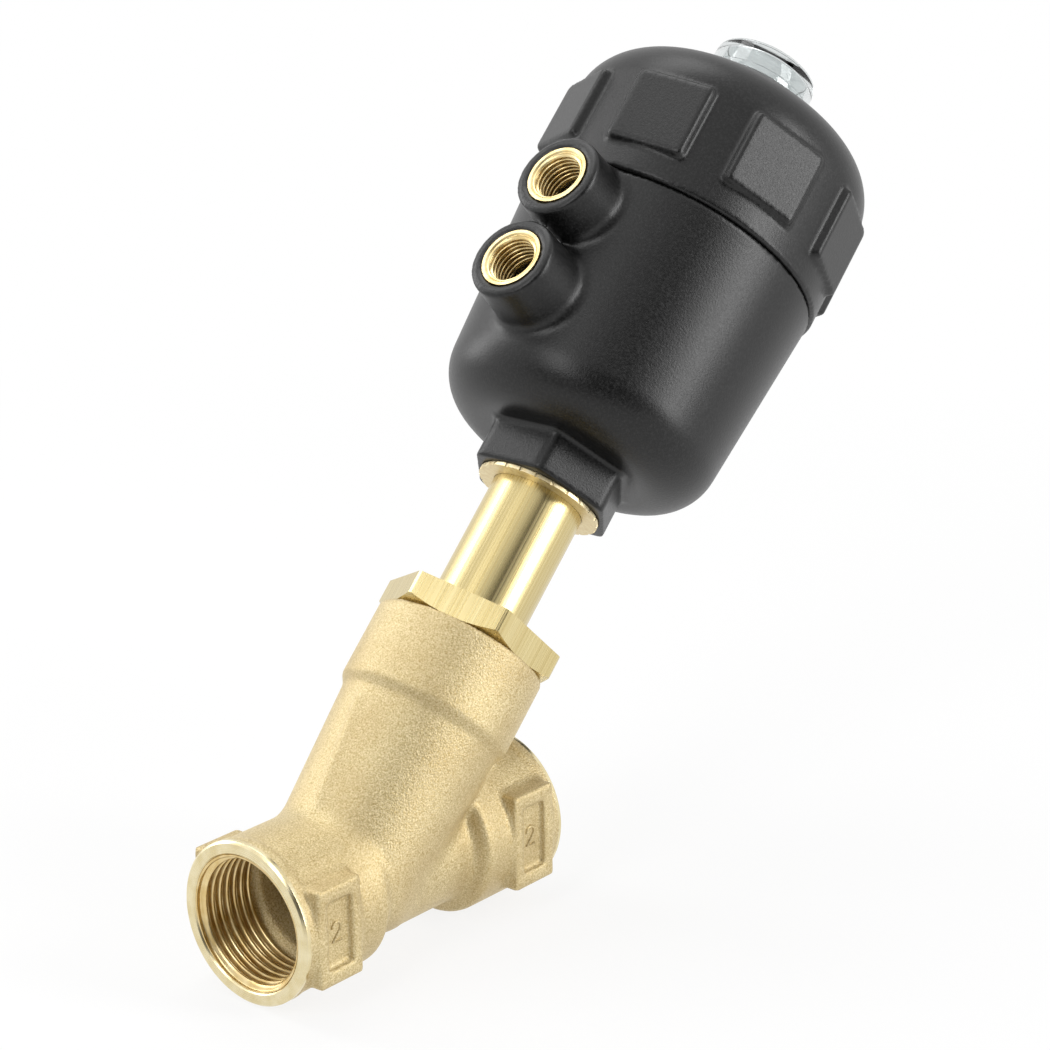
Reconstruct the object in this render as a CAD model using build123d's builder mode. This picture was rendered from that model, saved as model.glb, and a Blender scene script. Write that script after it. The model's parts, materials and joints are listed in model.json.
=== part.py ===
from build123d import *
from math import cos, radians, sin, sqrt, tan
import os

# Angle seat valve, DN 25, threaded ports, with a 63 mm single-acting piston actuator.
# All sizes in millimetres. +X runs along the pipe from the inlet, +Z is up, and the
# origin is the centre of the inlet port's face. The stem leans from the pipe by
# stem_angle, in the XZ plane. Places along the stem are measured from its foot, the
# point where it meets the pipe's centre line.

# ---- fits ----
running_gap = 0.08        # radial, between a sliding or turning piece and its bore
thread_gap = 0.05         # radial, between a plain stand-in thread and its hole
seal_gap = 0.05           # radial, between a seal and the face it wipes
ring_slack = 0.15         # along the stem, at each side of an O-ring in its groove

# ---- pipe ports and body casting ----
face_to_face = 90.0
stem_angle = 45.0
stem_foot_x = 29.4        # from the inlet face to the stem's foot
port_thread_r = 16.62     # G 1, major radius
port_thread_length = 17.0
port_mouth_r = 17.3
rim_r = 20.2
rim_length = 3.8
barrel_r = 19.8
inlet_barrel_length = 28.0
outlet_barrel_length = 27.0
waist_r = 16.0
passage_r = 12.8
waist_fillet = 1.9

# ---- wrench pads on the ports ----
pad_length = 14.2         # along the pipe
pad_height = 24.8
pads_across = 41.0
pad_recess_length = 7.6
pad_recess_height = 17.2
pad_recess_depth = 1.0
pad_edge = 0.9

# ---- branch of the body, around the stem ----
branch_start = -3.0
branch_foot_r = 18.3
branch_top_r = 21.4
branch_wall = 2.8
collar_r = 22.1
collar_start = 42.5
collar_full = 47.5
body_top = 65.9
collar_edge = 0.7
branch_foot_edge = 2.4
branch_blend = 1.2

# ---- seat ----
seat_r = 12.5             # DN 25 orifice
seat_land = 1.5
web_low = -1.5
web_high = 2.5
seat_face = 4.5

# ---- bonnet ----
bonnet_thread_r = 18.6
bonnet_thread_start = 49.0
bonnet_low = 50.0
gasket_depth = 1.5
gasket_width = 1.3
bonnet_hex_across = 41.2
bonnet_hex_angle = -4.5
bonnet_hex_top = 73.4
bonnet_hex_chamfer = 1.9
bonnet_hex_bevel = 0.55
tube_r = 12.2
tube_top = 127.0
packing_r = 9.0
packing_low = 56.0
wiper_r = 8.0
wiper_height = 2.5

# ---- spindle and closing disc ----
stroke = 12.0
spindle_r = 5.0
spindle_low = 16.0
spindle_tail_r = 4.0
spindle_shoulder = 133.0
spindle_top = 158.0
disc_r = 15.2
disc_seal_r = 14.3
disc_seal_height = 4.0
disc_plate = 3.0
disc_edge = 0.8
disc_rim = 2.5            # how far the holder's rim reaches down over the seal
hub_r = 9.0
hub_top = 29.0
disc_pin_r = 1.5
disc_pin_place = 22.0
seal_screw_r = 3.0
seal_screw_depth = 9.5
seal_screw_across = 10.0
seal_screw_head = 4.2
seal_washer_r = 9.0
seal_washer_height = 1.5

# ---- packing stack, from the bottom up ----
packing_spring_length = 18.0
packing_spring_wire_r = 0.8
packing_spring_turns = 5
support_ring_height = 3.0
chevron_count = 5
chevron_height = 3.0
chevron_dip = 1.0
gland_ring_height = 3.0
guide_bush_height = 15.0
spindle_seal_height = 4.0
circlip_height = 1.2
circlip_depth = 0.8

# ---- actuator housing ----
bore_r = 31.5             # 63 mm piston
housing_hex_across = 35.0
housing_hex_angle = 30.0
housing_hex_low = 108.9
housing_hex_edge = 1.2
housing_bottom = 120.4
housing_foot_r = 36.0
housing_foot_fillet = 14.0
housing_top_r = 40.2
housing_top = 182.1
joint_edge = 0.3
floor_top = 126.0
floor_fillet = 4.0
cover_seat_r = 36.6
cover_seat_depth = 7.6
cover_room = 0.3          # between the cover's rim and the upper boss

# ---- brass insert in the housing's hexagon ----
insert_r = 15.6
insert_flange_r = 16.4
insert_low = 108.0
insert_top = 124.0
insert_teeth = 24
insert_tooth_r = 0.5
tube_ring_place = 118.2
tube_ring_section_r = 0.95
tube_circlip_reach = 2.0  # beyond the tube
tube_circlip_depth = 0.8  # of its groove in the tube

# ---- pilot air ports ----
lower_port_place = 146.7
port_pitch = 24.6
port_face = 50.8          # from the stem's axis to the face of each boss
boss_r = 11.1
boss_foot_r = 12.0
boss_foot = 30.0
boss_edge = 0.8
port_insert_r = 7.95
pilot_thread_r = 6.58     # G 1/4, major radius
pilot_thread_length = 11.0
pilot_mouth_r = 7.15
air_hole_r = 2.5
channel_r = 1.0
channel_place = 33.6
channel_low = 131.0
channel_exit = 132.2
channel_exit_r = 0.8
air_hole_end = 32.2
rib_thickness = 2.4
rib_reach = 46.5

# ---- piston ----
piston_low = 133.0
piston_height = 14.0
piston_hub_r = 10.0
piston_hub_height = 13.0
piston_web_low = 137.0
piston_web_high = 142.0
piston_rim_wall = 4.5     # from the bore to the rim's inner side
guide_groove_low = 134.6
guide_groove_height = 3.0
guide_ring_depth = 1.3    # from the bore to its groove's floor
piston_seal_low = 139.5
piston_seal_height = 4.0
piston_seal_depth = 3.5   # from the bore to its groove's floor
piston_washer_r = 8.0
piston_washer_height = 1.2
piston_nut_across = 13.0
piston_nut_height = 6.5

# ---- cover ----
cover_r = 40.9
cover_wall = 3.0
cover_inner_r = 33.0
cover_skirt_r = 36.5
cover_skirt_length = 7.1
cover_flat = 233.0
cover_flat_r = 15.5
cover_slope = 28.0        # degrees, fall of the crown from its flat to the shoulder
cover_shoulder_r = 15.0
cover_crown_r = 8.0
cover_ring_place = 178.6
cover_ring_section_r = 1.25
cover_pad_count = 8
cover_pad_angle = 14.5
cover_pad_width = 20.0
cover_pad_low = 190.0
cover_pad_high = 209.5
cover_pad_face = 41.9     # from the stem's axis to the pad's flat face
cover_pad_corner = 1.6
cover_pad_edge = 0.45
spring_rib_inner_r = 21.0
spring_rib_outer_r = 25.0

# ---- return springs ----
spring_plate_low = 218.0
spring_plate_height = 2.0
spring_plate_outer_r = 27.0
spring_plate_inner_r = 6.5
outer_spring_r = 22.0
outer_spring_wire_r = 2.2
outer_spring_turns = 8
inner_spring_r = 15.0
inner_spring_wire_r = 1.5
inner_spring_turns = 10

# ---- position indicator and its window ----
cap_hole_r = 12.0
cap_collar_r = 15.5
cap_collar_low = 224.0
cap_flange_r = 15.0
cap_flange_height = 1.8
cap_foot_r = 14.2
cap_top_r = 13.5
cap_top = 241.3
cap_wall_top = 1.5
cap_bore_r = 11.2
cap_spigot_bore_r = 9.4
cap_spigot_low = 226.0
cap_edge = 1.4
cap_ring_place = 229.5
cap_ring_section_r = 0.9
indicator_rod_r = 2.5
indicator_head_r = 5.0
indicator_head_low = 214.0
indicator_room = 1.8      # left between the raised indicator and the cap's top wall

# ---- places worked out from the sizes above ----
tube_circlip_r = tube_r + tube_circlip_reach
tube_circlip_groove_r = tube_r - tube_circlip_depth
piston_rim_inner_r = bore_r - piston_rim_wall
guide_groove_r = bore_r - guide_ring_depth
piston_seal_groove_r = bore_r - piston_seal_depth
lean = radians(stem_angle)
foot = Vector(stem_foot_x, 0, 0)
along = Vector(cos(lean), 0, sin(lean))
toward_ports = Vector(-sin(lean), 0, cos(lean))
stem_axis = Axis(foot, along)
section = Plane(origin=foot, x_dir=-toward_ports, z_dir=(0, -1, 0))
across = Plane(origin=foot, x_dir=toward_ports, z_dir=along)
cover_groove_floor_r = cover_seat_r - seal_gap - 2 * cover_ring_section_r
indicator_top = cap_top - cap_wall_top - stroke - indicator_room
cap_groove_floor_r = cap_hole_r - seal_gap - 2 * cap_ring_section_r
os.makedirs("parts", exist_ok=True)


def save(piece, name):
    piece.part.label = name
    export_step(piece.part, f"parts/{name}.step")


def facing(place, reach=0.0):
    """The plane across a pilot port's axis, at a place along the stem and a reach from it."""
    centre = foot + along * place + toward_ports * reach
    return Plane(origin=centre, x_dir=along, z_dir=toward_ports)


def ring_piece(inner, outer, low, height):
    """A plain ring around the stem."""
    with BuildPart() as ring:
        with BuildSketch(across.offset(low)):
            Circle(outer)
            Circle(inner, mode=Mode.SUBTRACT)
        extrude(amount=height)
    return ring


def o_ring(mean, section_r, place):
    """A round-section ring around the stem."""
    with BuildPart() as ring:
        with BuildSketch(section):
            with Locations((mean, place)):
                Circle(section_r)
        revolve(axis=stem_axis)
    return ring


def coil(mean, wire_r, low, high, turns):
    """A coil spring around the stem whose wire just reaches from low to high."""
    pitch = (high - low - 2 * wire_r) / turns
    with BuildPart() as spring:
        for turn in range(turns):
            start = foot + along * (low + wire_r + turn * pitch)
            with BuildLine() as path:
                Helix(pitch=pitch, height=pitch, radius=mean, center=start, direction=along)
            with BuildSketch(Plane(origin=path.line @ 0, z_dir=path.line % 0)):
                Circle(wire_r)
            sweep(path=path.line)
    return spring


# ==== body casting ====
thread_end = port_mouth_r - port_thread_r + port_thread_length
port_mouth = [
    (0, 0),
    (0, port_mouth_r),
    (port_mouth_r - port_thread_r, port_thread_r),
    (thread_end, port_thread_r),
    (thread_end, 0),
]


def port_passage(length, inner_end):
    """Points of the hollow behind a port's thread, which narrows to the passage."""
    taper = port_thread_r - passage_r
    return [
        (thread_end, 0),
        (thread_end, port_thread_r),
        (thread_end + taper / 2, port_thread_r - taper / 2),
        (length, passage_r),
        (inner_end, passage_r),
        (inner_end, 0),
    ]


half_reach = passage_r / sin(lean) + 4
with BuildPart() as inlet_hollow:
    with BuildSketch(Plane.XZ):
        with BuildLine():
            Polyline(*port_passage(inlet_barrel_length, stem_foot_x + half_reach), close=True)
        make_face()
    revolve(axis=Axis.X)
    split(bisect_by=across.offset(web_low), keep=Keep.BOTTOM)
    with BuildSketch(Plane.XZ):
        with BuildLine():
            Polyline(*port_mouth, close=True)
        make_face()
    revolve(axis=Axis.X)

outlet_plane = Plane(origin=(face_to_face, 0, 0), x_dir=(-1, 0, 0), z_dir=(0, 1, 0))
with BuildPart() as outlet_hollow:
    with BuildSketch(outlet_plane):
        with BuildLine():
            outlet_end = face_to_face - stem_foot_x
            Polyline(*port_passage(outlet_barrel_length, outlet_end), close=True)
        make_face()
    revolve(axis=Axis.X)
    split(bisect_by=across.offset(web_high), keep=Keep.TOP)
    with BuildSketch(outlet_plane):
        with BuildLine():
            Polyline(*port_mouth, close=True)
        make_face()
    revolve(axis=Axis.X)

with BuildPart() as branch_hollow:
    with BuildSketch(section):
        cone = (branch_top_r - branch_foot_r) / (collar_start - branch_start)
        low_r = branch_foot_r + cone * (web_high - branch_start) - branch_wall
        high_r = branch_foot_r + cone * (collar_start - branch_start) - branch_wall
        with BuildLine():
            Polyline(
                (0, web_high),
                (seat_r + seat_land, web_high),
                (low_r, web_high),
                (high_r, collar_start),
                (bonnet_thread_r, bonnet_thread_start),
                (bonnet_thread_r, body_top - gasket_depth),
                (bonnet_thread_r + gasket_width, body_top - gasket_depth),
                (bonnet_thread_r + gasket_width, body_top + 1),
                (0, body_top + 1),
                close=True,
            )
        make_face()
    revolve(axis=stem_axis)
    with BuildSketch(across.offset(web_high)):
        Circle(seat_r + seat_land)
    extrude(amount=seat_face - web_high, mode=Mode.SUBTRACT)

with BuildPart() as valve_body:
    with BuildSketch(Plane.XZ) as pipe_outline:
        outlet_start = face_to_face - outlet_barrel_length
        with BuildLine():
            Polyline(
                (0, 0),
                (0, rim_r),
                (rim_length, rim_r),
                (rim_length + 1, barrel_r),
                (inlet_barrel_length, barrel_r),
                (inlet_barrel_length, waist_r),
                (outlet_start, waist_r),
                (outlet_start, barrel_r),
                (face_to_face - rim_length - 1, barrel_r),
                (face_to_face - rim_length, rim_r),
                (face_to_face, rim_r),
                (face_to_face, 0),
                close=True,
            )
        make_face()
        waist_corners = [
            v for v in pipe_outline.vertices() if v.Y < rim_r and abs(v.Y) > 0
            and inlet_barrel_length - 1 < v.X < outlet_start + 1
        ]
        fillet(waist_corners, waist_fillet)
    revolve(axis=Axis.X)
    with BuildSketch(section) as branch_outline:
        with BuildLine():
            Polyline(
                (0, branch_start),
                (branch_foot_r, branch_start),
                (branch_top_r, collar_start),
                (collar_r, collar_full),
                (collar_r, body_top),
                (0, body_top),
                close=True,
            )
        make_face()
        low_corner = branch_outline.vertices().group_by(Axis.Y)[0].sort_by(Axis.X)[-1]
        fillet(low_corner, branch_foot_edge)
        high_corner = branch_outline.vertices().group_by(Axis.Y)[-1].sort_by(Axis.X)[-1]
        fillet(high_corner, collar_edge)
    revolve(axis=stem_axis)
    fillet(valve_body.edges(Select.NEW), branch_blend)
    # four wrench pads, each a block with a shallow window in its face
    pad_places = (rim_length + pad_length / 2, face_to_face - rim_length - pad_length / 2)
    for side in (-1, 1):
        pad_face = Plane(origin=(0, side * pads_across / 2, 0), x_dir=(1, 0, 0), z_dir=(0, side, 0))
        with BuildSketch(pad_face):
            with Locations(*[(place, 0) for place in pad_places]):
                Rectangle(pad_length, pad_height)
        extrude(amount=-(pads_across / 2 - barrel_r / 2))
        outer_faces = valve_body.faces().filter_by(Axis.Y).group_by(Axis.Y)[0 if side < 0 else -1]
        fillet(outer_faces.edges(), pad_edge)
        with BuildSketch(pad_face):
            with Locations(*[(place, 0) for place in pad_places]):
                RectangleRounded(pad_recess_length, pad_recess_height, pad_edge)
        extrude(amount=-pad_recess_depth, mode=Mode.SUBTRACT)
    add(inlet_hollow.part, mode=Mode.SUBTRACT)
    add(outlet_hollow.part, mode=Mode.SUBTRACT)
    add(branch_hollow.part, mode=Mode.SUBTRACT)
    # the seat's orifice through the web
    with BuildSketch(across.offset(web_low - 1)):
        Circle(seat_r)
    extrude(amount=seat_face - web_low + 2, mode=Mode.SUBTRACT)
save(valve_body, "valve_body")

gasket = ring_piece(
    bonnet_thread_r, bonnet_thread_r + gasket_width, body_top - gasket_depth, gasket_depth
)
save(gasket, "bonnet_gasket")

# ==== bonnet: spigot, hexagon and tube in one turned piece ====
with BuildPart() as bonnet_hexagon:
    with BuildSketch(across.offset(body_top)):
        RegularPolygon(bonnet_hex_across / 2, 6, major_radius=False, rotation=bonnet_hex_angle)
    extrude(amount=bonnet_hex_top - body_top)
    chamfer(bonnet_hexagon.edges().filter_by(stem_axis), bonnet_hex_bevel)
    with BuildSketch(section):
        with BuildLine():
            hex_foot_r = bonnet_hex_across / 2 - 0.2
            Polyline(
                (0, body_top),
                (hex_foot_r, body_top),
                (hex_foot_r + 2 * bonnet_hex_chamfer, body_top + bonnet_hex_chamfer),
                (hex_foot_r + 2 * bonnet_hex_chamfer, bonnet_hex_top),
                (0, bonnet_hex_top),
                close=True,
            )
        make_face()
    revolve(axis=stem_axis, mode=Mode.INTERSECT)

spigot_r = bonnet_thread_r - thread_gap
circlip_low = (
    packing_low + packing_spring_length + support_ring_height
    + chevron_count * chevron_height + gland_ring_height
    + guide_bush_height + spindle_seal_height
)
with BuildPart() as bonnet:
    with BuildSketch(section):
        with BuildLine():
            Polyline(
                (0, bonnet_low),
                (spigot_r - 1, bonnet_low),
                (spigot_r, bonnet_low + 1),
                (spigot_r, body_top),
                (tube_r, body_top),
                (tube_r, insert_top),
                (tube_circlip_groove_r, insert_top),
                (tube_circlip_groove_r, insert_top + circlip_height + running_gap),
                (tube_r, insert_top + circlip_height + running_gap),
                (tube_r, tube_top - 0.5),
                (tube_r - 0.5, tube_top),
                (0, tube_top),
                close=True,
            )
        make_face()
    revolve(axis=stem_axis)
    add(bonnet_hexagon.part)
    with BuildSketch(section):
        with BuildLine():
            Polyline(
                (0, bonnet_low - 1),
                (wiper_r, bonnet_low - 1),
                (wiper_r, bonnet_low + wiper_height),
                (spindle_r + running_gap, bonnet_low + wiper_height),
                (spindle_r + running_gap, packing_low),
                (packing_r, packing_low),
                (packing_r, circlip_low),
                (packing_r + circlip_depth, circlip_low),
                (packing_r + circlip_depth, circlip_low + circlip_height),
                (packing_r, circlip_low + circlip_height),
                (packing_r, tube_top + 1),
                (0, tube_top + 1),
                close=True,
            )
        make_face()
    revolve(axis=stem_axis, mode=Mode.SUBTRACT)
save(bonnet, "bonnet")

# ==== packing stack inside the bonnet ====
wiped_r = spindle_r + seal_gap
save(ring_piece(wiped_r, wiper_r, bonnet_low, wiper_height), "wiper_ring")
packing_spring = coil(
    (packing_r + spindle_r) / 2,
    packing_spring_wire_r,
    packing_low,
    packing_low + packing_spring_length,
    packing_spring_turns,
)
save(packing_spring, "packing_spring")
level = packing_low + packing_spring_length
guided_r = spindle_r + running_gap
save(ring_piece(guided_r, packing_r, level, support_ring_height), "packing_support_ring")
level += support_ring_height
with BuildPart() as chevron_rings:
    middle = (wiped_r + packing_r) / 2
    for index in range(chevron_count):
        low = level + index * chevron_height
        high = low + chevron_height
        tip = chevron_dip if index < chevron_count - 1 else 0
        notch = chevron_dip if index > 0 else 0
        with BuildSketch(section):
            with BuildLine():
                Polyline(
                    (wiped_r, low),
                    (middle, low + notch),
                    (packing_r, low),
                    (packing_r, high - 0.1),
                    (middle, high + tip - 0.1),
                    (wiped_r, high - 0.1),
                    close=True,
                )
            make_face()
        revolve(axis=stem_axis)
save(chevron_rings, "chevron_rings")
level += chevron_count * chevron_height
save(ring_piece(guided_r, packing_r, level, gland_ring_height), "packing_gland_ring")
level += gland_ring_height
save(ring_piece(guided_r, packing_r, level, guide_bush_height), "guide_bush")
level += guide_bush_height
save(ring_piece(wiped_r, packing_r, level, spindle_seal_height), "spindle_seal")
packing_circlip = ring_piece(packing_r - 1.5, packing_r + circlip_depth, circlip_low, circlip_height)
save(packing_circlip, "packing_circlip")
tube_circlip = ring_piece(
    tube_circlip_groove_r, tube_circlip_r, insert_top + running_gap, circlip_height
)
save(tube_circlip, "actuator_circlip")

# ==== spindle ====
pin_plane = Plane(origin=foot + along * disc_pin_place, x_dir=along, z_dir=(0, 1, 0))
with BuildPart() as spindle:
    with BuildSketch(section):
        with BuildLine():
            Polyline(
                (0, spindle_low),
                (spindle_r - 0.5, spindle_low),
                (spindle_r, spindle_low + 0.5),
                (spindle_r, spindle_shoulder),
                (spindle_tail_r, spindle_shoulder),
                (spindle_tail_r, spindle_top),
                (0, spindle_top),
                close=True,
            )
        make_face()
    revolve(axis=stem_axis)
    with BuildSketch(pin_plane):
        Circle(disc_pin_r)
    extrude(amount=hub_r, both=True, mode=Mode.SUBTRACT)
save(spindle, "spindle")

# ==== closing disc: holder, seal, washer, screw and cross pin ====
plate_low = seat_face + disc_seal_height
with BuildPart() as disc_holder:
    with BuildSketch(section):
        with BuildLine():
            Polyline(
                (0, plate_low),
                (disc_seal_r, plate_low),
                (disc_seal_r, plate_low - disc_rim),
                (disc_r, plate_low - disc_rim),
                (disc_r, plate_low + disc_plate - disc_edge),
                (disc_r - disc_edge, plate_low + disc_plate),
                (hub_r, plate_low + disc_plate),
                (hub_r, hub_top),
                (spindle_r, hub_top),
                (spindle_r, spindle_low),
                (0, spindle_low),
                close=True,
            )
        make_face()
    revolve(axis=stem_axis)
    with BuildSketch(pin_plane):
        Circle(disc_pin_r)
    extrude(amount=hub_r + 1, both=True, mode=Mode.SUBTRACT)
    with BuildSketch(across.offset(plate_low - 1)):
        Circle(seal_screw_r)
    extrude(amount=seal_screw_depth - disc_seal_height + 1, mode=Mode.SUBTRACT)
save(disc_holder, "disc_holder")
save(ring_piece(seal_screw_r, disc_seal_r, seat_face, disc_seal_height), "disc_seal")
washer_low = seat_face - seal_washer_height
save(ring_piece(seal_screw_r, seal_washer_r, washer_low, seal_washer_height), "seal_washer")
with BuildPart() as seal_screw:
    with BuildSketch(across.offset(washer_low - seal_screw_head)):
        RegularPolygon(seal_screw_across / 2, 6, major_radius=False)
    extrude(amount=seal_screw_head)
    with BuildSketch(across.offset(washer_low)):
        Circle(seal_screw_r)
    extrude(amount=seal_washer_height + seal_screw_depth)
save(seal_screw, "seal_screw")
with BuildPart() as disc_pin:
    with BuildSketch(pin_plane):
        Circle(disc_pin_r)
    extrude(amount=sqrt(hub_r**2 - disc_pin_r**2), both=True)
save(disc_pin, "disc_pin")

# ==== brass insert that turns on the bonnet's tube ====
with BuildPart() as housing_insert:
    ring_room = 2 * (tube_ring_section_r + ring_slack)
    groove_r = tube_r + 2 * (seal_gap + tube_ring_section_r)
    with BuildSketch(section):
        with BuildLine():
            Polyline(
                (tube_r + running_gap, insert_low),
                (insert_flange_r, insert_low),
                (insert_flange_r, housing_hex_low),
                (insert_r, housing_hex_low),
                (insert_r, insert_top),
                (tube_r + running_gap, insert_top),
                (tube_r + running_gap, tube_ring_place + ring_room / 2),
                (groove_r, tube_ring_place + ring_room / 2),
                (groove_r, tube_ring_place - ring_room / 2),
                (tube_r + running_gap, tube_ring_place - ring_room / 2),
                close=True,
            )
        make_face()
    revolve(axis=stem_axis)
    with BuildSketch(across.offset(insert_low)):
        with PolarLocations(insert_flange_r + insert_tooth_r / 3, insert_teeth):
            Circle(insert_tooth_r)
    extrude(amount=housing_hex_low - insert_low, mode=Mode.SUBTRACT)
save(housing_insert, "housing_insert")
tube_ring = o_ring(tube_r + seal_gap + tube_ring_section_r, tube_ring_section_r, tube_ring_place)
save(tube_ring, "tube_o_ring")

# ==== actuator housing ====
port_places = (lower_port_place, lower_port_place + port_pitch)
draft_fillet_x = housing_foot_r - housing_foot_fillet
with BuildPart() as actuator_housing:
    with BuildSketch(across.offset(housing_hex_low)):
        RegularPolygon(
            housing_hex_across / 2, 6, major_radius=False, rotation=housing_hex_angle
        )
    extrude(amount=floor_top - housing_hex_low)
    fillet(actuator_housing.edges().filter_by(stem_axis), housing_hex_edge)
    fillet(actuator_housing.edges().group_by(stem_axis)[0], housing_hex_edge / 3)
    with BuildSketch(section):
        with BuildLine():
            Line((0, housing_bottom), (draft_fillet_x, housing_bottom))
            RadiusArc(
                (draft_fillet_x, housing_bottom),
                (housing_foot_r, housing_bottom + housing_foot_fillet),
                -housing_foot_fillet,
            )
            Polyline(
                (housing_foot_r, housing_bottom + housing_foot_fillet),
                (housing_top_r, housing_top - joint_edge),
                (housing_top_r - joint_edge, housing_top),
                (0, housing_top),
                (0, housing_bottom),
            )
        make_face()
    revolve(axis=stem_axis)
    for place in port_places:
        with BuildSketch(facing(place, port_face)):
            Circle(boss_r)
        with BuildSketch(facing(place, boss_foot)):
            Circle(boss_foot_r)
        loft()
    boss_faces = actuator_housing.faces().sort_by(Axis(foot, toward_ports))[-2:]
    fillet(boss_faces.edges(), boss_edge)
    with BuildSketch(Plane(origin=foot, x_dir=toward_ports, z_dir=(0, 1, 0))):
        with Locations(((boss_foot + rib_reach) / 2, sum(port_places) / 2)):
            Rectangle(rib_reach - boss_foot, port_pitch)
    extrude(amount=rib_thickness / 2, both=True)
    with BuildSketch(section):
        with BuildLine():
            Polyline(
                (0, floor_top),
                (bore_r - floor_fillet, floor_top),
                (bore_r, floor_top + floor_fillet),
                (bore_r, housing_top - cover_seat_depth),
                (cover_seat_r, housing_top - cover_seat_depth),
                (cover_seat_r, housing_top),
                (cover_r + cover_room, housing_top),
                (cover_r + cover_room, housing_top + boss_foot_r),
                (0, housing_top + boss_foot_r),
                close=True,
            )
        make_face()
    revolve(axis=stem_axis, mode=Mode.SUBTRACT)
    with BuildSketch(across.offset(housing_hex_low - 1)):
        Circle(insert_r)
    extrude(amount=floor_top - housing_hex_low + 2, mode=Mode.SUBTRACT)
    for place in port_places:
        with BuildSketch(facing(place, port_face - pilot_thread_length)):
            Circle(port_insert_r)
        extrude(amount=pilot_thread_length + 1, mode=Mode.SUBTRACT)
    with BuildSketch(facing(port_places[1], 0)):
        Circle(air_hole_r)
    extrude(amount=port_face, mode=Mode.SUBTRACT)
    # the lower port feeds a channel in the wall that opens under the piston
    with BuildSketch(facing(port_places[0], air_hole_end)):
        Circle(air_hole_r)
    extrude(amount=port_face - air_hole_end, mode=Mode.SUBTRACT)
    channel_centre = foot + toward_ports * channel_place
    channel_plane = Plane(origin=channel_centre, x_dir=toward_ports, z_dir=along)
    with BuildSketch(channel_plane.offset(channel_low)):
        Circle(channel_r)
    extrude(amount=lower_port_place - channel_low, mode=Mode.SUBTRACT)
    with BuildSketch(facing(channel_exit, bore_r - 1)):
        Circle(channel_exit_r)
    extrude(amount=channel_place - bore_r + 1, mode=Mode.SUBTRACT)
save(actuator_housing, "actuator_housing")

for name, place in zip(("lower_port_insert", "upper_port_insert"), port_places):
    with BuildPart() as port_insert:
        with BuildSketch(facing(place, port_face - pilot_thread_length)):
            Circle(port_insert_r)
            Circle(pilot_thread_r, mode=Mode.SUBTRACT)
        extrude(amount=pilot_thread_length)
        mouth_edges = port_insert.edges().filter_by(GeomType.CIRCLE)
        mouth_edge = mouth_edges.sort_by(Axis(foot, toward_ports))[-2:].sort_by(SortBy.RADIUS)[0]
        chamfer(mouth_edge, pilot_mouth_r - pilot_thread_r)
    save(port_insert, name)

# ==== piston ====
piston_r = bore_r - 2 * running_gap
with BuildPart() as piston:
    rim_high = piston_low + piston_height
    with BuildSketch(section):
        with BuildLine():
            Polyline(
                (spindle_tail_r, piston_low),
                (piston_hub_r, piston_low),
                (piston_hub_r, piston_web_low),
                (piston_rim_inner_r, piston_web_low),
                (piston_rim_inner_r, piston_low),
                (piston_r, piston_low),
                (piston_r, guide_groove_low),
                (guide_groove_r, guide_groove_low),
                (guide_groove_r, guide_groove_low + guide_groove_height),
                (piston_r, guide_groove_low + guide_groove_height),
                (piston_r, piston_seal_low),
                (piston_seal_groove_r, piston_seal_low),
                (piston_seal_groove_r, piston_seal_low + piston_seal_height),
                (piston_r, piston_seal_low + piston_seal_height),
                (piston_r, rim_high),
                (piston_rim_inner_r, rim_high),
                (piston_rim_inner_r, piston_web_high),
                (piston_hub_r, piston_web_high),
                (piston_hub_r, piston_low + piston_hub_height),
                (spindle_tail_r, piston_low + piston_hub_height),
                close=True,
            )
        make_face()
    revolve(axis=stem_axis)
save(piston, "piston")

with BuildPart() as piston_seal:
    lip_r = bore_r - seal_gap
    seal_middle = (piston_seal_groove_r + lip_r) / 2
    seal_high = piston_seal_low + piston_seal_height
    with BuildSketch(section):
        with BuildLine():
            Polyline(
                (piston_seal_groove_r, piston_seal_low),
                (seal_middle, piston_seal_low + piston_seal_height / 2),
                (lip_r, piston_seal_low),
                (lip_r - 0.5, seal_high),
                (piston_seal_groove_r, seal_high),
                close=True,
            )
        make_face()
    revolve(axis=stem_axis)
save(piston_seal, "piston_seal")
guide_ring = ring_piece(
    guide_groove_r, bore_r - running_gap, guide_groove_low, guide_groove_height
)
save(guide_ring, "piston_guide_ring")
piston_nut_low = piston_low + piston_hub_height + piston_washer_height
piston_washer = ring_piece(
    spindle_tail_r, piston_washer_r, piston_low + piston_hub_height, piston_washer_height
)
save(piston_washer, "piston_washer")
with BuildPart() as piston_nut:
    with BuildSketch(across.offset(piston_nut_low)):
        RegularPolygon(piston_nut_across / 2, 6, major_radius=False)
        Circle(spindle_tail_r, mode=Mode.SUBTRACT)
    extrude(amount=piston_nut_height)
save(piston_nut, "piston_nut")

# ==== return springs and their plate ====
outer_spring = coil(
    outer_spring_r, outer_spring_wire_r, piston_web_high, spring_plate_low, outer_spring_turns
)
save(outer_spring, "return_spring_outer")
inner_spring = coil(
    inner_spring_r, inner_spring_wire_r, piston_web_high, spring_plate_low, inner_spring_turns
)
save(inner_spring, "return_spring_inner")
spring_plate = ring_piece(
    spring_plate_inner_r, spring_plate_outer_r, spring_plate_low, spring_plate_height
)
save(spring_plate, "spring_plate")

# ==== actuator cover ====
def crown_height(radius):
    """How far along the stem the cover's sloping crown reaches at a radius."""
    return cover_flat - (radius - cover_flat_r) * tan(radians(cover_slope))


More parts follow.
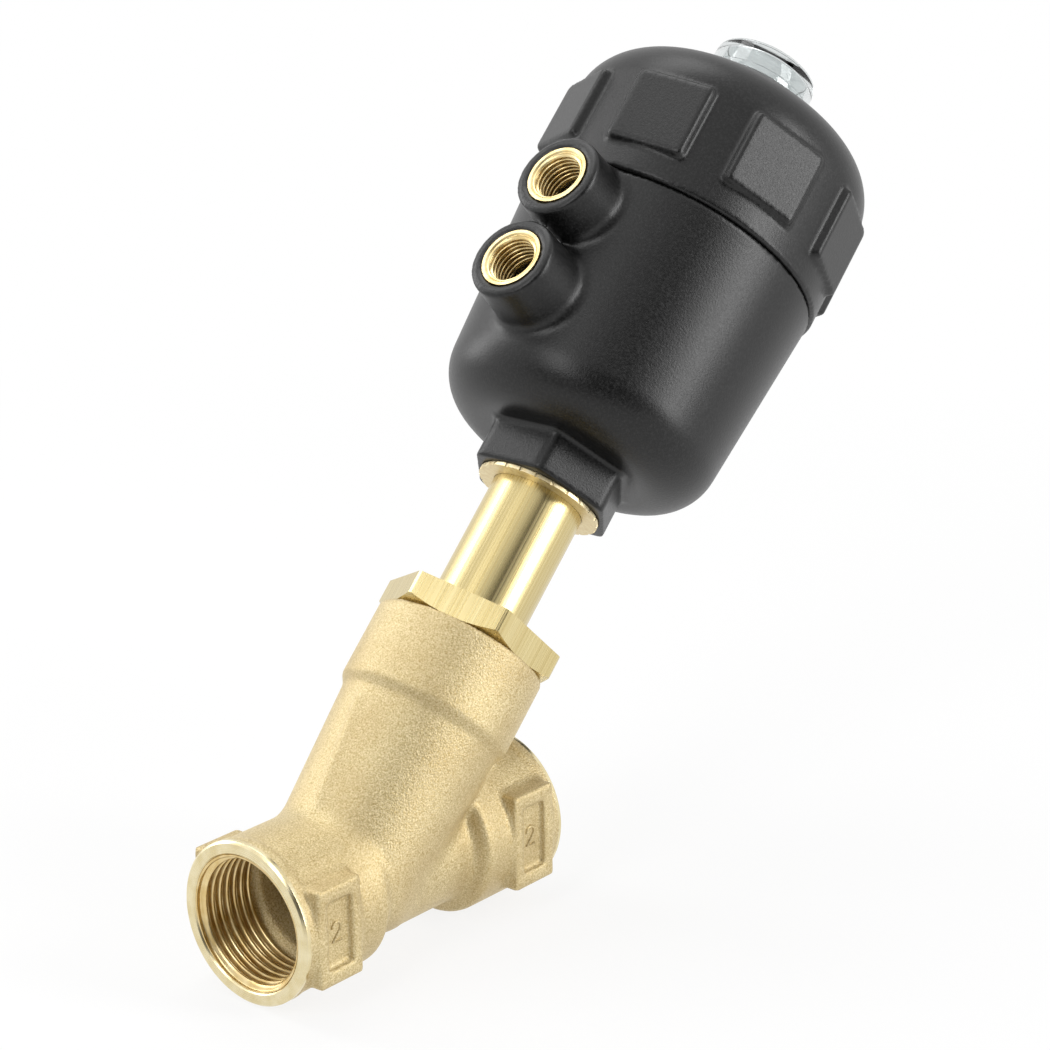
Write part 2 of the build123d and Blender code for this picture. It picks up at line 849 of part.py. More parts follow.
crown_wall = cover_wall / cos(radians(cover_slope))
spring_plate_high = spring_plate_low + spring_plate_height
with BuildPart() as cover_hollow:
    hollow_low = housing_top - cover_skirt_length - 1
    with BuildSketch(section) as hollow_outline:
        with BuildLine():
            Polyline(
                (0, hollow_low),
                (cover_inner_r, hollow_low),
                (cover_inner_r, crown_height(cover_inner_r) - crown_wall),
                (cap_collar_r, crown_height(cap_collar_r) - crown_wall),
                (cap_collar_r, cap_collar_low),
                (0, cap_collar_low),
                close=True,
            )
        make_face()
        inner_shoulder = hollow_outline.vertices().group_by(Axis.X)[-1].sort_by(Axis.Y)[-1]
        fillet(inner_shoulder, cover_shoulder_r / 2)
    revolve(axis=stem_axis)
    # the rib that the spring plate bears on stays solid
    with BuildSketch(across.offset(spring_plate_high)):
        Circle(spring_rib_outer_r)
        Circle(spring_rib_inner_r, mode=Mode.SUBTRACT)
    extrude(amount=cover_flat - spring_plate_high, mode=Mode.SUBTRACT)

with BuildPart() as actuator_cover:
    with BuildSketch(section) as cover_outline:
        with BuildLine():
            skirt_low = housing_top - cover_skirt_length
            ring_half = cover_ring_section_r + ring_slack
            Polyline(
                (0, skirt_low),
                (cover_skirt_r, skirt_low),
                (cover_skirt_r, cover_ring_place - ring_half),
                (cover_groove_floor_r, cover_ring_place - ring_half),
                (cover_groove_floor_r, cover_ring_place + ring_half),
                (cover_skirt_r, cover_ring_place + ring_half),
                (cover_skirt_r, housing_top),
                (cover_r - joint_edge, housing_top),
                (cover_r, housing_top + joint_edge),
                (cover_r, crown_height(cover_r)),
                (cover_flat_r, cover_flat),
                (0, cover_flat),
                close=True,
            )
        make_face()
        shoulder = cover_outline.vertices().group_by(Axis.X)[-1].sort_by(Axis.Y)[-1]
        fillet(shoulder, cover_shoulder_r)
        crown_rim = cover_outline.vertices().group_by(Axis.Y)[-1].sort_by(Axis.X)[-1]
        fillet(crown_rim, cover_crown_r)
    revolve(axis=stem_axis)
    for index in range(cover_pad_count):
        turn = cover_pad_angle + index * 360 / cover_pad_count
        outward = across.x_dir * cos(radians(turn)) + across.y_dir * sin(radians(turn))
        middle = foot + along * ((cover_pad_low + cover_pad_high) / 2)
        pad_plane = Plane(origin=middle + outward * cover_pad_face, x_dir=along, z_dir=outward)
        with BuildSketch(pad_plane):
            RectangleRounded(cover_pad_high - cover_pad_low, cover_pad_width, cover_pad_corner)
        extrude(amount=-(cover_pad_face - cover_r + 4))
        pad_top = actuator_cover.faces().filter_by(Plane(pad_plane.origin, z_dir=outward)).sort_by(
            Axis(foot, outward)
        )[-1]
        fillet(pad_top.edges(), cover_pad_edge)
    add(cover_hollow.part, mode=Mode.SUBTRACT)
    with BuildSketch(across.offset(cap_collar_low - 1)):
        Circle(cap_hole_r)
    extrude(amount=cover_flat - cap_collar_low + 2, mode=Mode.SUBTRACT)
save(actuator_cover, "actuator_cover")
cover_ring = o_ring(
    cover_groove_floor_r + cover_ring_section_r, cover_ring_section_r, cover_ring_place
)
save(cover_ring, "cover_o_ring")

# ==== window cap and position indicator ====
with BuildPart() as indicator_cap:
    with BuildSketch(section) as cap_outline:
        cap_ring_half = cap_ring_section_r + ring_slack
        spigot_outer_r = cap_hole_r - thread_gap
        flange_top = cover_flat + cap_flange_height
        with BuildLine():
            Polyline(
                (cap_spigot_bore_r, cap_spigot_low),
                (spigot_outer_r, cap_spigot_low),
                (spigot_outer_r, cap_ring_place - cap_ring_half),
                (cap_groove_floor_r, cap_ring_place - cap_ring_half),
                (cap_groove_floor_r, cap_ring_place + cap_ring_half),
                (spigot_outer_r, cap_ring_place + cap_ring_half),
                (spigot_outer_r, cover_flat),
                (cap_flange_r, cover_flat),
                (cap_flange_r, flange_top),
                (cap_foot_r, flange_top),
                (cap_top_r, cap_top),
                (0, cap_top),
                (0, cap_top - cap_wall_top),
                (cap_bore_r, cap_top - cap_wall_top),
                (cap_bore_r, cover_flat),
                (cap_spigot_bore_r, cover_flat),
                close=True,
            )
        make_face()
        rounded = cap_outline.vertices().group_by(Axis.Y)[-1].sort_by(Axis.X)[-1]
        fillet(rounded, cap_edge)
    revolve(axis=stem_axis)
save(indicator_cap, "indicator_cap")
cap_ring = o_ring(
    cap_groove_floor_r + cap_ring_section_r, cap_ring_section_r, cap_ring_place
)
save(cap_ring, "cap_o_ring")
with BuildPart() as indicator:
    with BuildSketch(across.offset(spindle_top)):
        Circle(indicator_rod_r)
    extrude(amount=indicator_head_low - spindle_top)
    with BuildSketch(across.offset(indicator_head_low)):
        Circle(indicator_head_r)
    extrude(amount=indicator_top - indicator_head_low)
save(indicator, "position_indicator")
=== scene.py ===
import json
import math
import bmesh
import bpy
import numpy as np
from mathutils import Matrix, Vector


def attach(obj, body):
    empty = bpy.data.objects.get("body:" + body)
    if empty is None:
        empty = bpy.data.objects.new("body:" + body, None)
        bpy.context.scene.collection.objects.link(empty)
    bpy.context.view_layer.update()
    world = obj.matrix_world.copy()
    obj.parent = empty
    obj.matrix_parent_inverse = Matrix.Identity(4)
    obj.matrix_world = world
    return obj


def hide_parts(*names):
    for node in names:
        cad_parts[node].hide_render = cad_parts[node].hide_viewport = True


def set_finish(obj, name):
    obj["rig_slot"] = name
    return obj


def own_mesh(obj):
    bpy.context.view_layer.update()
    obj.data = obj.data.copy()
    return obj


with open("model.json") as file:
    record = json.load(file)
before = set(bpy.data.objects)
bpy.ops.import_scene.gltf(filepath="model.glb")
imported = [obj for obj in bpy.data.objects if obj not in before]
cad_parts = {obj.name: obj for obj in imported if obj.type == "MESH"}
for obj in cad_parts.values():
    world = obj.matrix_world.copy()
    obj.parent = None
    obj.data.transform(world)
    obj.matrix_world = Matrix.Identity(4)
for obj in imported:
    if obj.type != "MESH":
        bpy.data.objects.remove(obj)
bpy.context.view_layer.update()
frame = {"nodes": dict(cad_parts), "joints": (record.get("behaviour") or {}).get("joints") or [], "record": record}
print("frame loaded:", len(frame["nodes"]), "nodes")

# Lengths below are in millimetres and become metres when a mesh is written. A point
# near the pipe is (x, y, z). A point near the stem is (u, v, s): s runs up the stem
# from its foot, u points to the side of the air ports and v towards the front.
metre = 0.001
pastAxis = -1.0  # an outline reaches this far over its axis, so that the axis is no edge
beyond = 60.0  # ends a hollow that runs out of its piece
frameAxes, frameOrigin = np.eye(3), np.zeros(3)
joints = {joint["name"]: joint for joint in frame["joints"]}
mounts = {mount["name"]: mount for mount in frame["record"]["mounts"]}
lift = joints["spindle_lift"]

# the stem leans in the plane of the pipe, and its foot is on the pipe's axis
lean = math.atan2(lift["axis"][2], lift["axis"][0])
leanSine, leanCosine = math.sin(lean), math.cos(lean)
pivot = joints["actuator_turn"]["pos_m"]
stemFoot = np.array([round((pivot[0] - pivot[2] / math.tan(lean)) / metre, 2), 0.0, 0.0])
stemAxes = np.array([[-leanSine, 0, leanCosine], [0, -1, 0], [leanCosine, 0, leanSine]])
stemDirection = tuple(stemAxes[2])

# the pipe from face to face: its two threads start equally far behind them
pipeLength = round(sum(mounts[port]["pos_m"][0] for port in ("inlet_port", "outlet_port")) / metre, 2)
# the axes of both ports, which run inward
inletAxes = np.array([[0, 1, 0], [0, 0, 1], [1, 0, 0]])
outletAxes = np.array([[0, -1, 0], [0, 0, 1], [-1, 0, 0]])
outletFace = np.array([pipeLength, 0.0, 0.0])


# how far up the stem a place of the frame lies: its part along the stem's axis
def upStem(place):
    return round(float((np.array(place) / metre - stemFoot) @ stemAxes[2]), 2)


def addObject(name, data):
    made = bpy.data.objects.new(name, data)
    bpy.context.scene.collection.objects.link(made)
    return made


# a mesh object from an array of points in millimetres and an array of quads
def writeMesh(name, points, quads):
    mesh = bpy.data.meshes.new(name)
    mesh.vertices.add(len(points))
    mesh.vertices.foreach_set("co", (points * metre).astype(np.float32).ravel())
    mesh.loops.add(quads.size)
    mesh.loops.foreach_set("vertex_index", quads.astype(np.int32).ravel())
    mesh.polygons.add(len(quads))
    mesh.polygons.foreach_set("loop_start", np.arange(0, quads.size, 4, dtype=np.int32))
    mesh.polygons.foreach_set("use_smooth", np.ones(len(quads), bool))
    mesh.update(calc_edges=True)
    mesh.validate()
    return addObject(name, mesh)


# merges the points of a ring that was drawn in to nothing, and turns the faces outward
def closeEnds(piece):
    work = bmesh.new()
    work.from_mesh(piece.data)
    bmesh.ops.remove_doubles(work, verts=work.verts, dist=1e-6)
    bmesh.ops.recalc_face_normals(work, faces=work.faces)
    work.to_mesh(piece.data)
    work.free()
    return piece


# the quads of a grid of points: its columns run round, and its rows do too if it is closed
def gridQuads(rows, columns, closed):
    row = np.arange(rows if closed else rows - 1)[:, None]
    column = np.arange(columns)[None, :]
    nextRow = (row + 1) % rows
    nextColumn = (column + 1) % columns
    return np.stack([
        row * columns + column, nextRow * columns + column,
        nextRow * columns + nextColumn, row * columns + nextColumn,
    ], axis=-1).reshape(-1, 4)


# from a piece's own directions to the frame's: the origin plus each part along its axis
def toWorld(local, axes, origin):
    return origin + local @ axes


# a closed outline with each corner turned into an arc of its own radius: the arc's centre
# lies on the line that halves the corner, at the radius over the sine of half its opening
def rounded(corners, radii, step=9):
    points = []
    count = len(corners)
    for index, (corner, radius) in enumerate(zip(corners, radii)):
        corner = np.array(corner, float)
        if not radius:
            points.append(tuple(corner))
            continue
        back = np.array(corners[index - 1], float) - corner
        ahead = np.array(corners[(index + 1) % count], float) - corner
        back /= np.linalg.norm(back)
        ahead /= np.linalg.norm(ahead)
        opening = math.acos(np.clip(back @ ahead, -1, 1))
        middle = (back + ahead) / np.linalg.norm(back + ahead)
        centre = corner + middle * radius / math.sin(opening / 2)
        reach = radius / math.tan(opening / 2)
        first = corner + back * reach - centre
        last = corner + ahead * reach - centre
        start = math.atan2(first[1], first[0])
        sweep = (math.atan2(last[1], last[0]) - start + math.pi) % (2 * math.pi) - math.pi
        steps = max(2, round(abs(math.degrees(sweep)) / step))
        for part in range(steps + 1):
            angle = start + sweep * part / steps
            points.append(tuple(centre + radius * np.array([math.cos(angle), math.sin(angle)])))
    return points


# a closed outline of (radius, height) turned round an axis: at the turn t its points are
# (radius cos t, radius sin t, height), and ripple may bend the radius first
def turned(name, outline, axes, origin, segments=160, ripple=None, sharpAngle=30):
    outline = np.array(outline, float)
    ahead = np.roll(outline, -1, axis=0)
    area = np.sum(outline[:, 0] * ahead[:, 1] - ahead[:, 0] * outline[:, 1])
    if area < 0:
        outline = outline[::-1]
    count = len(outline)
    angle = np.arange(segments)[:, None] * 2 * math.pi / segments
    radius = np.broadcast_to(outline[:, 0], (segments, count))
    height = np.broadcast_to(outline[:, 1], (segments, count))
    if ripple:
        radius = ripple(radius, height, angle)
    local = np.stack([radius * np.cos(angle), radius * np.sin(angle), height], axis=-1)
    quads = gridQuads(segments, count, closed=True)
    piece = writeMesh(name, toWorld(local.reshape(-1, 3), axes, origin), quads)
    if np.any(outline[:, 0] < 0.001):  # points on the axis, one in each segment
        closeEnds(piece)
    piece.data.set_sharp_from_angle(angle=math.radians(sharpAngle))
    return piece


# a round wire along a line of centres: a ring's points are its centre plus the thickness
# times (cos t first + sin t second), and the rings at both ends are drawn in to a point
def sweptWire(name, centres, first, second, thickness, sides, axes, origin):
    turn = np.arange(sides)[:, None] * 2 * math.pi / sides
    reach = np.full((len(centres), 1, 1), thickness)
    reach[[0, -1]] = 0
    ring = np.cos(turn) * first[:, None, :] + np.sin(turn) * second
    local = (centres[:, None, :] + reach * ring).reshape(-1, 3)
    quads = gridQuads(len(centres), sides, closed=False)
    return closeEnds(writeMesh(name, toWorld(local, axes, origin), quads))


# the surface where a distance field is zero, as quads: a cell that it crosses gets one
# point, the mean of the crossings on the cell's edges, and each crossed edge joins the
# points of the four cells round it. Blocks of cells far from the surface are passed over.
def surfaceNet(name, field, size, axes, origin):
    block = 8
    cell = size["cell"]
    low = np.array(size["gridLow"], float)
    counts = -(-np.ceil((np.array(size["gridHigh"]) - low) / cell).astype(int) // block) * block
    centres = [
        low[a] + cell * (np.arange(counts[a] // block) * block + (block - 1) / 2) for a in range(3)
    ]
    value = field(*np.meshgrid(*centres, indexing="ij"))
    close = np.abs(value) < block * cell
    for a in range(3):
        value = value.repeat(block, a)
        close = close.repeat(block, a)
    spots = np.nonzero(close)
    value[spots] = field(*(low[a] + cell * spots[a] for a in range(3)))
    inside = value < 0
    cornersInside = sum(
        inside[i:counts[0] - 1 + i, j:counts[1] - 1 + j, k:counts[2] - 1 + k].astype(np.int8)
        for i in (0, 1) for j in (0, 1) for k in (0, 1)
    )
    crossed = (cornersInside > 0) & (cornersInside < 8)
    number = np.full(crossed.shape, -1)
    number[crossed] = np.arange(crossed.sum())
    cells = np.stack(np.nonzero(crossed), axis=1)
    place = np.zeros((len(cells), 3))
    hits = np.zeros(len(cells))
    for a in range(3):
        b, c = (a + 1) % 3, (a + 2) % 3
        for offset in ((0, 0), (1, 0), (0, 1), (1, 1)):
            corner = np.zeros(3, int)
            corner[b], corner[c] = offset
            start = cells + corner
            end = start.copy()
            end[:, a] += 1
            startValue = value[tuple(start.T)]
            endValue = value[tuple(end.T)]
            cut = (startValue < 0) != (endValue < 0)
            share = startValue[cut] / (startValue[cut] - endValue[cut])
            spot = np.broadcast_to(corner.astype(float), (cut.sum(), 3)).copy()
            spot[:, a] += share
            place[cut] += spot
            hits[cut] += 1
    points = low + cell * (cells + place / hits[:, None])
    quads = []
    for a in range(3):
        b, c = (a + 1) % 3, (a + 2) % 3
        lower = [slice(1, -1)] * 3
        upper = [slice(1, -1)] * 3
        lower[a] = slice(0, -1)
        upper[a] = slice(1, None)
        change = inside[tuple(lower)] != inside[tuple(upper)]
        spots = np.stack(np.nonzero(change), axis=1)
        spots[:, b] += 1
        spots[:, c] += 1
        solidBelow = inside[tuple(spots.T)]
        stepB, stepC = np.eye(3, dtype=int)[b], np.eye(3, dtype=int)[c]
        quad = np.stack([
            number[tuple((spots - stepB - stepC).T)], number[tuple((spots - stepC).T)],
            number[tuple(spots.T)], number[tuple((spots - stepB).T)],
        ], axis=1)
        quad[~solidBelow] = quad[~solidBelow][:, ::-1]
        quads.append(quad)
    return writeMesh(name, toWorld(points, axes, origin), np.concatenate(quads))


# the union of two fields with a fillet: the lesser distance, less a quarter of the blend
# times the square of how near the two distances are, as a share of the blend
def joined(a, b, blend):
    overlap = np.maximum(blend - np.abs(a - b), 0) / blend
    return np.minimum(a, b) - overlap * overlap * blend / 4


# what two fields share: the greater distance, with the same rounding turned over
def common(a, b, blend):
    return -joined(-a, -b, blend)


# the first field less the second: the greater of its distance and the other's, negated
def without(a, b, blend):
    return -joined(-a, b, blend)


# the distance from points of a half plane to a closed outline, negative inside it: the
# least distance to a side, whose sign turns at each side that a level line crosses
def outlineField(radius, height, outline):
    nearest = np.full(radius.shape, 1e9)
    inward = np.ones(radius.shape, bool)
    for (r0, h0), (r1, h1) in zip(outline, outline[1:] + outline[:1]):
        er, eh = r1 - r0, h1 - h0
        if er * er + eh * eh < 1e-12:
            continue
        wr, wh = radius - r0, height - h0
        share = np.clip((wr * er + wh * eh) / (er * er + eh * eh), 0, 1)
        nearest = np.minimum(nearest, (wr - er * share) ** 2 + (wh - eh * share) ** 2)
        above = height >= h0
        below = height < h1
        left = er * wh > eh * wr
        inward ^= (above & below & left) | (~above & ~below & ~left)
    return np.where(inward, 1, -1) * np.sqrt(nearest)


# a box centred on zero with rounded edges: how far a point is past the box that the edge's
# radius leaves, less that radius
def boxField(x, y, z, size, corner):
    dx, dy, dz = (np.abs(p) - s / 2 + corner for p, s in zip((x, y, z), size))
    outside = np.sqrt(np.maximum(dx, 0) ** 2 + np.maximum(dy, 0) ** 2 + np.maximum(dz, 0) ** 2)
    return outside + np.minimum(np.maximum(np.maximum(dx, dy), dz), 0) - corner


# a round bar between two heights: the greatest distance past its side and its two ends
def tubeField(radius, height, size, low, high):
    return np.maximum(radius - size, np.maximum(low - height, height - high))


# a hexagonal bar with rounded corners: what three pairs of parallel faces share, with one
# corner at the angle turn
def hexagonField(x, y, across, turn, corner):
    angles = np.radians(turn + 30 + 60 * np.arange(3))
    first, second, third = (
        np.abs(x * math.cos(angle) + y * math.sin(angle)) - across / 2 for angle in angles
    )
    return common(common(first, second, corner), third, corner)


casting = {
    "cell": 0.67, "gridLow": (-1.5, -23.5, -23.5), "gridHigh": (91.5, 23.5, 65),
    "faceSet": 0.25, "edgeIn": 0.5, "edgeBack": 0.9,
    "rimRadius": 20.2, "rimLength": 3.6, "rimStep": 1.0, "rimRound": 0.6, "barrelRadius": 19.8,
    "waistRadius": 16.0, "waistStart": 28.0, "waistEnd": 63.0, "waistStep": 1.5, "waistRound": 2.2,
    "neckLow": -3.0, "neckFoot": 18.2, "neckTop": 20.7, "collarStart": 43.6, "collarFull": 46.0,
    "collarRadius": 22.15, "collarTop": 65.9, "neckRounds": (3.0, 1.6, 1.3, 0.5),
    "neckBlend": 2.4, "padBlend": 1.5,
    "padInset": 3.8, "padSize": (14.2, 24.8), "padFace": 20.5, "padCorner": 0.8,
    "recessSize": (7.6, 17.2), "recessDepth": 1.6, "recessCorner": 0.3, "recessEdge": 0.3,
    "creaseHeight": 0.65, "creaseWidth": 1.5, "creaseTurn": (6.0, -9.0), "creaseFade": 4.0,
    "portLow": -2.0, "threadBore": 16.75, "threadEnd": 18.0, "threadRunout": (1.9, 1.6),
    "passage": 12.8, "inletEnd": 60.0, "outletStart": 30.0, "wall": 2.8,
    "seatRadius": 12.5, "seatLand": 1.5, "seatLow": -1.0, "seatFace": 4.5, "orifice": (-2.5, 6.5),
    "webLow": -1.5, "webHigh": 2.5, "webBlend": 1.5, "hollowBlend": 1.0, "seatBlend": 0.8,
    "bonnetBore": 18.6, "bonnetBoreStart": 49.0, "hollowTop": 68.0, "edgeBlend": 0.5,
}


# the cast body: a turned pipe and a turned neck that blend, with pads that have a recess,
# less the ports, the two passages with the seat's web between them, and the neck's bore
def castingField(x, y, z):
    c = casting
    around = np.hypot(y, z)
    fromEnd = pipeLength / 2 - np.abs(x - pipeLength / 2)
    u = z * leanCosine - (x - stemFoot[0]) * leanSine
    s = z * leanSine + (x - stemFoot[0]) * leanCosine
    v = -y
    out = np.hypot(u, v)
    small, large = c["rimRound"], c["waistRound"]
    pipe = outlineField(around, x, rounded([
        (pastAxis, c["faceSet"]), (c["rimRadius"] - c["edgeIn"], c["faceSet"]),
        (c["rimRadius"], c["edgeBack"]), (c["rimRadius"], c["rimLength"]),
        (c["barrelRadius"], c["rimLength"] + c["rimStep"]), (c["barrelRadius"], c["waistStart"]),
        (c["waistRadius"], c["waistStart"] + c["waistStep"]),
        (c["waistRadius"], c["waistEnd"] - c["waistStep"]), (c["barrelRadius"], c["waistEnd"]),
        (c["barrelRadius"], pipeLength - c["rimStep"] - c["rimLength"]),
        (c["rimRadius"], pipeLength - c["rimLength"]), (c["rimRadius"], pipeLength - c["edgeBack"]),
        (c["rimRadius"] - c["edgeIn"], pipeLength - c["faceSet"]),
        (pastAxis, pipeLength - c["faceSet"]),
    ], (0, 0, 0, small, small, large, large, large, large, small, small, 0, 0, 0)))
    slope = (c["neckTop"] - c["neckFoot"]) / (c["collarStart"] - c["neckLow"])
    neck = outlineField(out, s, rounded([
        (pastAxis, c["neckLow"]), (c["neckFoot"], c["neckLow"]), (c["neckTop"], c["collarStart"]),
        (c["collarRadius"], c["collarFull"]), (c["collarRadius"], c["collarTop"]),
        (pastAxis, c["collarTop"]),
    ], (0, *c["neckRounds"], 0)))
    # a soft crease down the neck, where the two halves of the mould met
    climb = np.clip((s - c["neckLow"]) / (c["collarStart"] - c["neckLow"]), 0, 1)
    lowTurn, highTurn = c["creaseTurn"]
    creaseTurn = np.radians(lowTurn + (highTurn - lowTurn) * climb)
    astray = out * (np.arctan2(v, u) - creaseTurn) / c["creaseWidth"]
    fade = np.clip((c["collarStart"] - s) / c["creaseFade"], 0, 1)
    neck = neck - c["creaseHeight"] * fade * np.exp(-astray * astray)
    solid = joined(pipe, neck, c["neckBlend"])
    padLength, padHeight = c["padSize"]
    padX = fromEnd - c["padInset"] - padLength / 2
    pad = boxField(padX, y, z, (padLength, 2 * c["padFace"], padHeight), c["padCorner"])
    solid = joined(solid, pad, c["padBlend"])
    recessLength, recessHeight = c["recessSize"]
    recess = boxField(
        padX, np.abs(y) - c["padFace"], z, (recessLength, 2 * c["recessDepth"], recessHeight),
        c["recessCorner"],
    )
    solid = without(solid, recess, c["recessEdge"])
    runoutIn, runoutAlong = c["threadRunout"]
    port = outlineField(around, fromEnd, [
        (pastAxis, c["portLow"]), (c["threadBore"], c["portLow"]), (c["threadBore"], c["threadEnd"]),
        (c["threadBore"] - runoutIn, c["threadEnd"] + runoutAlong), (c["passage"], c["waistStart"]),
        (c["passage"], beyond), (pastAxis, beyond),
    ])
    inlet = common(port, np.maximum(s - c["webLow"], x - c["inletEnd"]), c["webBlend"])
    outlet = common(port, np.maximum(c["webHigh"] - s, c["outletStart"] - x), c["webBlend"])
    threadRoom = tubeField(around, fromEnd, c["threadBore"], c["portLow"], c["threadEnd"])
    inlet = np.minimum(inlet, threadRoom)
    branchLow = c["neckFoot"] + slope * (c["webHigh"] - c["neckLow"]) - c["wall"]
    branch = outlineField(out, s, [
        (pastAxis, c["webHigh"]), (branchLow, c["webHigh"]),
        (c["neckTop"] - c["wall"], c["collarStart"]), (c["bonnetBore"], c["bonnetBoreStart"]),
        (c["bonnetBore"], c["hollowTop"]), (pastAxis, c["hollowTop"]),
    ])
    seat = tubeField(out, s, c["seatRadius"] + c["seatLand"], c["seatLow"], c["seatFace"])
    branch = without(branch, seat, c["seatBlend"])
    hollow = joined(joined(inlet, outlet, c["hollowBlend"]), branch, c["hollowBlend"])
    hollow = joined(hollow, tubeField(out, s, c["seatRadius"], *c["orifice"]), c["edgeBlend"])
    return without(solid, hollow, c["edgeBlend"])


body = surfaceNet("gunmetal_casting", castingField, casting, frameAxes, frameOrigin)
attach(body, "valve_body")
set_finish(body, "gunmetal")
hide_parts("valve_body")
print("casting:", len(body.data.polygons), "quads")

# a raised figure in the recess of each front pad
figure = {
    "height": 4.8, "width": 2.8, "stroke": 0.42, "arc": (180, -32), "arcSteps": 14, "sides": 10,
}


# a round stroke in the pad's face: an arc over the top, a straight to the foot and the foot
def castFigure(name, centre):
    arc = np.radians(np.linspace(*figure["arc"], figure["arcSteps"]))
    reach = figure["width"] / 2
    crest = figure["height"] / 2 - reach
    bowl = np.stack([reach * np.cos(arc), crest + reach * np.sin(arc)], axis=1)
    foot = np.array([[-reach, -figure["height"] / 2], [reach, -figure["height"] / 2]])
    path = np.concatenate([bowl[:1], bowl, foot, foot[-1:]])
    going = np.gradient(path[1:-1], axis=0)
    going = np.concatenate([going[:1], going, going[-1:]])
    going /= np.linalg.norm(going, axis=1, keepdims=True)
    level = np.zeros(len(path))
    centres = np.stack([path[:, 0], level, path[:, 1]], axis=1)
    aside = np.stack([-going[:, 1], level, going[:, 0]], axis=1)
    return sweptWire(
        name, centres, aside, np.array([0, -1, 0]), figure["stroke"], figure["sides"],
        frameAxes, np.array(centre),
    )


padMiddle = casting["padInset"] + casting["padSize"][0] / 2
recessFloor = casting["padFace"] - casting["recessDepth"]
for side, place in (("inlet", padMiddle), ("outlet", pipeLength - padMiddle)):
    numeral = castFigure(f"{side}_pad_figure", (place, -recessFloor, 0))
    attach(numeral, "valve_body")
    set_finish(numeral, "gunmetal")
print("pads: raised figures")

lip = {
    "face": 17.3, "rimRadius": casting["rimRadius"], "chamfer": 0.6, "sideLength": 1.6,
    "boreRadius": 16.72, "taperEnd": 0.75, "rounds": (0, 0, 0.15, 0.2, 0.2, 0.1), "segments": 192,
}
pipeThread = {
    "major": mounts["inlet_port"]["dims"]["r_mm"], "minor": 15.2, "sleeve": 16.85, "pitch": 2.309,
    "start": 0.35, "length": 17.4, "segments": 160,
}
airThread = {
    "major": mounts["lower_air_port"]["dims"]["r_mm"], "minor": 5.75, "sleeve": 6.7, "pitch": 1.337,
    "start": 0.35, "length": 10.3, "segments": 112,
}
threadShape = {"hardness": 2.0, "fadeIn": 0.9, "fadeOut": 0.5, "samples": 14}  # fades in pitches


# bends the inner side of a sleeve into turns: the depth follows the cosine of the height in
# pitches less the turn, pressed flat at crest and root, and fades out at both ends
def threadWave(thread):
    hardness, pitch = threadShape["hardness"], thread["pitch"]

    def ripple(radius, height, angle):
        turns = 2 * math.pi * height / pitch - angle
        crest = np.tanh(hardness * np.cos(turns)) / math.tanh(hardness)
        fade = np.clip(height / (threadShape["fadeIn"] * pitch), 0, 1)
        fade = fade * np.clip((thread["length"] - height) / (threadShape["fadeOut"] * pitch), 0, 1)
        depth = (thread["major"] - thread["minor"]) * (0.5 + 0.5 * crest) * fade
        innerSide = radius < thread["major"] + 0.001
        return np.where(innerSide, thread["major"] - depth, radius)
    return ripple


# a thin sleeve that lines a bore and carries the thread on its inner side: a turned ring
# whose inner side has enough rows to follow each pitch
def threadSleeve(name, thread, axes, origin):
    start, end = thread["start"], thread["length"]
    rows = round((end - start) / thread["pitch"] * threadShape["samples"])
    inner = [(thread["major"], end - (end - start) * row / rows) for row in range(rows + 1)]
    outline = [(thread["sleeve"], start), (thread["sleeve"], end)] + inner
    return turned(name, outline, axes, origin, thread["segments"], threadWave(thread), sharpAngle=60)


for side, axes, origin in (
    ("inlet", inletAxes, frameOrigin), ("outlet", outletAxes, outletFace),
):
    lipOutline = rounded([
        (lip["boreRadius"], lip["sideLength"]), (lip["boreRadius"], lip["taperEnd"]),
        (lip["face"], 0.0), (lip["rimRadius"] - lip["chamfer"], 0.0),
        (lip["rimRadius"], lip["chamfer"]), (lip["rimRadius"], lip["sideLength"]),
    ], lip["rounds"])
    rim = turned(f"{side}_lip", lipOutline, axes, origin, lip["segments"])
    thread = threadSleeve(f"{side}_thread", pipeThread, axes, origin)
    for piece in (rim, thread):
        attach(piece, "valve_body")
        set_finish(piece, "gunmetal")
print("pipe ports: lips and threads")

housing = {
    "cell": 0.72, "gridLow": (-42, -42, 107.3), "gridHigh": (53, 42, 184.6),
    "hexAcross": 35.0, "hexCorner": 30.0, "hexRound": 1.6, "hexLow": 108.9, "hexFootBlend": 1.6,
    "hexEdge": (0.8, 0.4),
    "bottom": 120.4, "footRadius": 35.8, "footFillet": 14.0, "topRadius": 40.2, "top": 182.1,
    "floor": 126.0, "floorFillet": 4.0, "bore": 31.5, "seat": 36.6, "seatDepth": 7.6,
    "hollowTop": 185.1, "neckBore": 15.6, "neckBoreEnds": (106.9, 128.0), "edgeBlend": 0.35,
    "bossPlaces": [upStem(mounts[f"{side}_air_port"]["pos_m"]) for side in ("lower", "upper")],
    "bossRoot": 20.0, "bossFace": 50.8, "bossTop": 11.1, "bossFoot": 12.0,
    "bossFootPlace": 30.0, "bossEdge": 1.0, "bossBlend": 2.6,
    "insertRadius": 7.95, "insertDepth": 11.0, "airHole": 2.5, "airHoleStart": 32.5,
    "ribHalf": 1.2, "ribReach": 46.5, "ribHalfHeight": 12.0, "ribBlend": 0.8,
    "coverRadius": 40.9, "coverRoom": 0.3, "coverRoomHeight": 20.0,
}


